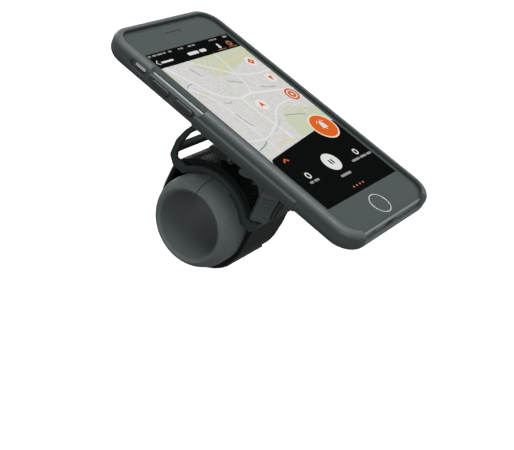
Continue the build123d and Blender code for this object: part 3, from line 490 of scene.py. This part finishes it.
def ribbon(path, width):
    """The outline of a line of that width drawn along path."""
    left, right = [], []
    for index, (x, y) in enumerate(path):
        before, after = path[max(index - 1, 0)], path[min(index + 1, len(path) - 1)]
        along = Vector((after[0] - before[0], after[1] - before[1])).normalized()
        left.append((x - along.y * width / 2, y + along.x * width / 2))
        right.append((x + along.y * width / 2, y - along.x * width / 2))
    return [*left, *reversed(right)]


def clipped(outline, region):
    """The part of an outline inside a convex region whose points run anticlockwise."""
    for (ax, ay), (bx, by) in zip(region, [*region[1:], region[0]]):
        kept = []
        for (px, py), (qx, qy) in zip(outline, [*outline[1:], outline[0]]):
            p_side = (bx - ax) * (py - ay) - (by - ay) * (px - ax)
            q_side = (bx - ax) * (qy - ay) - (by - ay) * (qx - ax)
            if p_side >= 0:
                kept.append((px, py))
            if p_side * q_side < 0:
                t = p_side / (p_side - q_side)
                kept.append((px + t * (qx - px), py + t * (qy - py)))
        outline = kept
        if len(outline) < 3:
            return []
    return outline


def add_slab(mesh, outline, low, high, hole=None):
    """A closed flat slab from a ring of points, with an optional hole of as many points."""
    def corner(point, z):
        x, y = point
        return mesh.verts.new((display_centre.x + x * MM, display_centre.y + y * MM,
                               display_high.z + z * MM))

    rings = [[[corner(point, z) for point in ring] for z in (low, high)]
             for ring in (outline, hole) if ring]
    count = len(outline)
    for number, (bottom, top) in enumerate(rings):
        for index in range(count):
            after = (index + 1) % count
            wall = (bottom[index], bottom[after], top[after], top[index])
            mesh.faces.new(wall if number == 0 else wall[::-1])
    for level in (0, 1):
        if hole:
            outer, inner = rings[0][level], rings[1][level]
            for index in range(count):
                after = (index + 1) % count
                face = (outer[index], outer[after], inner[after], inner[index])
                mesh.faces.new(face if level else face[::-1])
        else:
            mesh.faces.new(rings[0][level] if level else rings[0][level][::-1])


def drawing(name, material, layer, outlines):
    """One piece of one colour: thin slabs on the display.

    An outline is a ring of points, or a ring and its hole.
    """
    mesh = bmesh.new()
    for outline in outlines:
        ring, hole = outline if isinstance(outline[0], list) else (outline, None)
        if len(ring) >= 3:
            add_slab(mesh, ring, LAYER * (layer - SLAB), LAYER * layer, hole)
    bmesh.ops.remove_doubles(mesh, verts=mesh.verts, dist=1e-8)
    bmesh.ops.triangulate(mesh, faces=[face for face in mesh.faces if len(face.verts) > 4])
    bmesh.ops.recalc_face_normals(mesh, faces=mesh.faces)
    data = bpy.data.meshes.new(name)
    mesh.to_mesh(data)
    mesh.free()
    data.materials.append(material)
    piece = bpy.data.objects.new(name, data)
    bpy.context.scene.collection.objects.link(piece)
    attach(piece, "case")


def map_region():
    """The map's outline: under the header, above the slanting edge of the lower panel."""
    edge = HALF_WIDTH - 0.05
    return [(-edge, PANEL_LEFT_Y - 2.0), (-edge + 0.5, PANEL_LEFT_Y - 0.8),
            (-edge + 2.2, PANEL_LEFT_Y), (edge - 1.6, PANEL_RIGHT_Y - 0.5),
            (edge - 0.4, PANEL_RIGHT_Y - 1.2), (edge, PANEL_RIGHT_Y - 2.0),
            (edge, HEADER_BOTTOM), (-edge, HEADER_BOTTOM)]


def draw_map():
    """A made-up town: its ground, parks, river, lanes, footpaths, roads and highways."""
    side = HALF_WIDTH - 0.1
    hull = [(-side, PANEL_LEFT_Y + 0.1), (side, PANEL_RIGHT_Y + 0.1),
            (side, HEADER_BOTTOM), (-side, HEADER_BOTTOM)]

    def lines(name, material, layer, routes):
        """One piece of ribbons, from pairs of a route and its width."""
        ribbons = [clipped(ribbon(route, width), hull) for route, width in routes]
        drawing(name, material, layer, ribbons)

    drawing("screen_map", lit_map("screen_map_ground"), 1, [map_region()])

    parks = [[(-7, 30), (2, 28), (12, 31), (20, 33), (30, 31), (31, 44), (-8, 44), (-7, 30)],
             [(1, -18), (4, -4), (12, 1), (24, -3), (31, -6), (31, -20), (1, -18)],
             [(-30, 42), (-27, 36), (-30, 30), (-32, 36), (-30, 42)],
             [(-24, 25), (-21, 23), (-22, 20), (-25, 21), (-24, 25)]]
    drawing("screen_parks", lit("screen_park_green", srgb(203, 209, 184)), 2,
            [clipped(smooth_path(park), hull) for park in parks])

    river = smooth_path([(-31, -15), (-22, -13), (-14, -9), (-6, -7.5), (2, -3)])
    lines("screen_water", lit("screen_water_blue", srgb(190, 204, 212)), 3, [(river, 0.8)])

    quarters = (((-17, 31), 62, 7, 2.6), ((-20, 6), 83, 8, 2.4), ((10, 22), -20, 7, 2.9),
                ((-4, 34), -35, 5, 3.2), ((13, 2), 12, 5, 3.4), ((-14, -10), 20, 5, 2.8))
    draw = random.Random(7)
    lanes = []
    for centre, angle, count, gap in quarters:
        for number in range(count):
            for across in (0, 90):
                length = draw.uniform(5, 11)
                shift = (number - count / 2) * gap + draw.uniform(-0.4, 0.4)
                lane = [(shift, -length), (shift + draw.uniform(-0.7, 0.7), 0), (shift, length)]
                lanes.append(moved(turned(smooth_path(lane, 4), angle + across), centre))
    lines("screen_lanes", lit("screen_lane_white", srgb(219, 217, 216)), 4,
          [(lane, 0.22) for lane in lanes])

    footpaths = [[(-15.3, 38), (-14.2, 35.2), (-13.3, 31.6)], [(-3, 25.2), (1, 23.2), (5.6, 21.3)],
                 [(12, 16.2), (16, 14.4), (20.6, 13.7)], [(-18.2, 14.6), (-16.3, 13.6), (-14, 13.2)],
                 [(-19, 7.4), (-18.6, 2.6), (-17.4, -1.6)],
                 [(-28.5, -14.2), (-24, -13.2), (-19.4, -11.4)],
                 [(5.6, -3), (11, -4), (18, -6.2)], [(-29, 27), (-26, 29), (-23, 29.4)]]
    lines("screen_paths", lit("screen_path_grey", srgb(132, 130, 126)), 5,
          [(smooth_path(footpath), 0.38) for footpath in footpaths])

    main_road = [(-27, 44), (-25, 37), (-21, 28), (-17, 20), (-8, 14.2), (2, 14.5), (12, 12.6), (31, 9)]
    roads = [(main_road, 1.15),
             ([(-6.2, 14.4), (-6.4, 4), (-5, -6), (-4, -20)], 1.05),
             ([(-30, 29), (-25, 24), (-21, 17), (-19.5, 4), (-19, -22)], 0.8),
             ([(-30, -8), (-18, -10), (-5, -5.5), (8, 3), (31, 4)], 0.8),
             ([(8, 44), (7, 31), (5, 20), (2, 14.5)], 0.7),
             ([(31, 24), (18, 24), (6, 28), (-12, 42), (-13, 44)], 0.8)]
    lines("screen_roads", lit("screen_road_white", srgb(229, 227, 229)), 6,
          [(smooth_path(road), width) for road, width in roads])

    highways = [([(31, 41), (24, 37), (15, 35.5), (6, 35), (-2, 30)], 0.75),
                ([(-18, -19), (-14, -15.5), (-8, -15), (-3, -17)], 0.9)]
    lines("screen_highways", lit("screen_highway_sand", srgb(226, 208, 164)), 7,
          [(smooth_path(highway), width) for highway, width in highways])


def text_bars(x, y, width, height, words):
    """A line of made-up text: one rounded bar for each word, whose lengths are given as shares."""
    gap = height * WORD_GAP
    free = width - gap * (len(words) - 1)
    bars = []
    left = x - width / 2
    for share in words:
        length = free * share / sum(words)
        bars.append(rounded_box(left + length / 2, y, length, height, height * BAR_ROUNDING, 3))
        left += length + gap
    return bars


def bell(x, y, size):
    """A plain alarm bell: dome, flared lip and clapper."""
    angles = [math.radians(degrees) for degrees in range(0, 181, 15)]
    dome = [(x + size * 0.34 * math.cos(angle), y + size * (0.18 + 0.36 * math.sin(angle)))
            for angle in angles]
    skirt = [(x - size * 0.38, y - size * 0.20), (x - size * 0.52, y - size * 0.36),
             (x + size * 0.52, y - size * 0.36), (x + size * 0.38, y - size * 0.20)]
    clapper = disc(x, y - size * 0.50, size * 0.11, 16)
    crown = disc(x, y + size * 0.58, size * 0.08, 16)
    return [[*dome, *skirt], clapper, crown]


def arc_stroke(centre, radius, start, end, width):
    """A curved line round a centre, from one angle to another."""
    angles = [math.radians(start + (end - start) * step / ARC_STEPS)
              for step in range(ARC_STEPS + 1)]
    path = [(centre[0] + radius * math.cos(angle), centre[1] + radius * math.sin(angle))
            for angle in angles]
    return ribbon(path, width)


def cog(x, y, root, tip, teeth):
    """A cog's outline: every tooth has two corners at its tip and two at its root."""
    outline = []
    for tooth in range(teeth):
        for turn, radius in ((0, tip), (14, tip), (21, root), (38, root)):
            angle = math.radians(360 // teeth * tooth + turn)
            outline.append((x + radius * math.cos(angle), y + radius * math.sin(angle)))
    return outline


def zero(x, y):
    """A readout's figure: an upright ring."""
    return [disc(x, y, 1.55, 40, 1.15), disc(x, y, 0.85, 40, 1.25)]


def draw_header(white, grey):
    """The status line, the title with its back arrow, and the two marks at the right."""
    status_y, status_height = 50.6, 0.9
    status_words = ((-21.6, 9.0, (3, 4, 2)), (-14.2, 2.2, (1,)), (-6.8, 3.4, (2, 3)),
                    (1.0, 5.0, (2, 2)), (16.8, 5.6, (1, 2, 2)))
    bars = [bar for x, width, words in status_words
            for bar in text_bars(x, status_y, width, status_height, words)]
    drawing("screen_status", grey, 1, [rounded_box(-28.0, status_y, 1.5, 1.1, 0.3), *bars,
                                       rounded_box(26.0, status_y, 2.8, 1.2, 0.3)])

    back_arrow = ribbon([(-26.6, 47.4), (-28.2, 46.0), (-26.6, 44.6)], 0.5)
    pointer = (16.2, 45.2)
    drawing("screen_title", white, 1, [
        *text_bars(0.0, 46.1, 13.0, 1.9, (5, 3)), back_arrow,
        *text_bars(-21.4, 45.6, 8.0, 1.1, (5,)),
        rounded_box(pointer[0], 46.5, 1.3, 2.4, 0.6), diamond(pointer, 1.6, 0.2)])

    settings = (24.2, 46.0)
    gear = cog(*settings, 1.45, 2.0, 8)
    underline_y, underline_length = 43.6, 6.2
    drawing("screen_settings", lit("screen_copper", srgb(176, 110, 84)), 1, [
        [gear, disc(*settings, 0.8, len(gear))],
        *[rounded_box(x, underline_y, underline_length, 0.35, 0.15) for x in (pointer[0], 24.4)]])


def draw_map_marks(white, orange):
    """The round marks on the map: a place, a pin, the rider's heading and a target."""
    place, pin, rider, target = (23.4, 31.5), (23.4, 19.0), (0.3, 6.8), (23.9, 6.3)
    drawing("screen_map_discs", lit("screen_disc_white", srgb(236, 228, 224)), 8,
            [disc(*place, 3.3), disc(*pin, 3.0), disc(*rider, 3.4)])
    pin_head = moved([(0, -2.1), (-1.5, 1.2), (1.5, 1.2)], pin)
    arrow = moved([(0, 2.1), (-1.8, -1.6), (0, -0.7), (1.8, -1.6)], rider)
    rim, middle, inside, core = 4.5, 4.0, 2.9, 2.2
    drawing("screen_map_marks", orange, 9, [
        diamond(place, 3.2, 0.4), pin_head, arrow, band(target, middle, inside),
        disc(*target, core)])
    drawing("screen_mark_rings", white, 8, [band(target, rim, middle), band(target, inside, core)])
    drawing("screen_mark_centre", white, 10, [diamond(place, 0.9, 0.2), disc(*target, 0.8, 24)])


def draw_alarm(white):
    """The large round alarm button, whose bell rings to both sides."""
    alarm = (19.6, -15.9)
    drawing("screen_alarm_rim", lit("screen_rim_cream", srgb(246, 222, 204)), 8,
            [disc(*alarm, 7.9, 72)])
    drawing("screen_alarm", lit("screen_alarm_orange", srgb(224, 100, 32)), 9,
            [disc(*alarm, 7.1, 72)])
    bell_x = alarm[0] + 0.3
    strokes = [arc_stroke((bell_x, alarm[1] + 0.6), 3.2, start, start + 40, 0.45)
               for start in (35, 105)]
    drawing("screen_alarm_bell", white, 10, [*bell(bell_x, alarm[1] + 0.4, 4.4), *strokes])


def draw_panel(white, grey, black, orange):
    """The lower panel: pause button, two readouts with captions, page dots and a pull mark."""
    pause = (0.3, -33.6)
    drawing("screen_pause", lit("screen_pause_white", srgb(226, 226, 224)), 8,
            [disc(*pause, 5.1, 64)])
    drawing("screen_pause_bars", black, 9,
            [rounded_box(pause[0] + side * 0.9, pause[1], 0.9, 2.7, 0.15) for side in (-1, 1)])
    drawing("screen_readouts", white, 8, [zero(-19.7, -34.5), zero(19.7, -34.4)])
    drawing("screen_captions", grey, 8, [
        *text_bars(-19.6, -38.1, 6.8, 1.2, (3, 4)), *text_bars(19.8, -38.0, 16.4, 1.2, (5, 4, 3)),
        *text_bars(0.2, -42.0, 8.0, 1.3, (1,))])
    drawing("screen_page_dots", lit("screen_dot_orange", srgb(206, 120, 84)), 8,
            [disc(x, -48.9, 0.5, 20) for x in (-3.6, -1.1, 1.5, 4.0)])
    pull_up = ribbon([(-23.7, -24.4), (-22.0, -22.9), (-20.3, -24.4)], 0.9)
    drawing("screen_pull_mark", orange, 8, [pull_up])


def draw_symbols():
    """Everything on the display but the map."""
    white = lit("screen_white", srgb(222, 222, 220))
    orange = lit("screen_orange", srgb(214, 104, 46))
    grey = lit("screen_grey", srgb(150, 150, 148))
    black = lit("screen_black", srgb(8, 8, 8))
    draw_header(white, grey)
    draw_map_marks(white, orange)
    draw_alarm(white)
    draw_panel(white, grey, black, orange)


# ---- stage ----
FLOOR_HALF = 4.0
FLOOR_DROP = 0.09
LIGHTS_AIM = Vector((0, 0, 0.04))
WORLD_FADE = (("From Min", -0.5), ("From Max", 0.8), ("To Min", 0.13), ("To Max", 0.95))

# the photograph's camera, solved from the display and the phone's outline
EYE = Vector((-361.24, -150.25, 273.75)) * MM
SIGHT_LINE = Vector((0.7705, 0.2810, -0.5721))
PICTURE_RIGHT = Vector((0.5618, -0.7235, 0.4013))
FOCAL_LENGTH = 72.43
SENSOR_WIDTH = 36.0


def build_floor():
    """A pale plane under the mount, seen only from above. It doesn't light the mount."""
    shader = Shader("floor_pale")
    tone = shader.blend(shader.noise(0.12, 3), srgb(242, 242, 243), srgb(250, 250, 250))
    shader.link(tone, shader.surface.inputs["Base Color"])
    shader.set(Roughness=0.9, Specular_IOR_Level=0.1)
    clear = shader.nodes.new("ShaderNodeBsdfTransparent")
    side = shader.nodes.new("ShaderNodeNewGeometry")
    mix = shader.nodes.new("ShaderNodeMixShader")
    output = shader.nodes["Material Output"]
    shader.link(side.outputs["Backfacing"], mix.inputs[0])
    shader.link(shader.surface.outputs[0], mix.inputs[1])
    shader.link(clear.outputs[0], mix.inputs[2])
    shader.link(mix.outputs[0], output.inputs["Surface"])

    depth = cad_box[0].z - FLOOR_DROP
    corners = [(x * FLOOR_HALF, y * FLOOR_HALF, depth)
               for x, y in ((-1, -1), (1, -1), (1, 1), (-1, 1))]
    data = bpy.data.meshes.new("floor")
    data.from_pydata(corners, [], [(0, 1, 2, 3)])
    data.materials.append(shader.material)
    floor = bpy.data.objects.new("floor", data)
    floor.visible_diffuse = False
    floor.visible_glossy = False
    bpy.context.scene.collection.objects.link(floor)


def add_light(name, place, size, watts):
    """A white rectangular softbox, aimed at the mount."""
    data = bpy.data.lights.new(name, "AREA")
    data.shape = "RECTANGLE"
    data.size, data.size_y = size
    data.energy = watts
    light = bpy.data.objects.new(name, data)
    light.location = place
    light.rotation_mode = "QUATERNION"
    light.rotation_quaternion = (LIGHTS_AIM - Vector(place)).to_track_quat("-Z", "Y")
    bpy.context.scene.collection.objects.link(light)


def build_lights():
    """A studio that is pale above and dark below, and four softboxes."""
    world = bpy.data.worlds.new("studio")
    world.use_nodes = True
    tree = world.node_tree
    direction = tree.nodes.new("ShaderNodeTexCoord")
    parts = tree.nodes.new("ShaderNodeSeparateXYZ")
    tree.links.new(direction.outputs["Generated"], parts.inputs[0])
    fade = tree.nodes.new("ShaderNodeMapRange")
    fade.interpolation_type = "SMOOTHSTEP"
    tree.links.new(parts.outputs["Z"], fade.inputs["Value"])
    for socket, value in WORLD_FADE:
        fade.inputs[socket].default_value = value
    background = tree.nodes["Background"]
    background.inputs["Strength"].default_value = 1.0
    tree.links.new(fade.outputs["Result"], background.inputs["Color"])
    bpy.context.scene.world = world
    add_light("top_softbox", (-0.10, 0.20, 0.95), (0.8, 0.7), 9.0)
    add_light("left_softbox", (-0.85, -0.55, 0.45), (0.6, 0.6), 2.6)
    add_light("right_fill", (0.8, -0.6, 0.35), (0.5, 0.6), 1.0)
    add_light("front_fill", (0.45, 0.75, -0.03), (0.5, 0.12), 2.4)


def build_camera():
    """Looks down along the phone, from the left of it and above the bar."""
    right = PICTURE_RIGHT.normalized()
    forward = SIGHT_LINE.normalized()
    up = right.cross(forward).normalized()
    right = forward.cross(up).normalized()
    data = bpy.data.cameras.new("camera")
    data.sensor_width = SENSOR_WIDTH
    data.lens = FOCAL_LENGTH
    data.clip_start = 0.01
    camera = bpy.data.objects.new("camera", data)
    axes = Matrix((right, up, -forward)).transposed().to_4x4()
    camera.matrix_world = Matrix.Translation(EYE) @ axes
    bpy.context.scene.collection.objects.link(camera)
    bpy.context.scene.camera = camera


build_camera()
build_lights()
build_floor()
finish_nodes()
draw_map()
draw_symbols()
bpy.context.scene.view_settings.view_transform = "Standard"
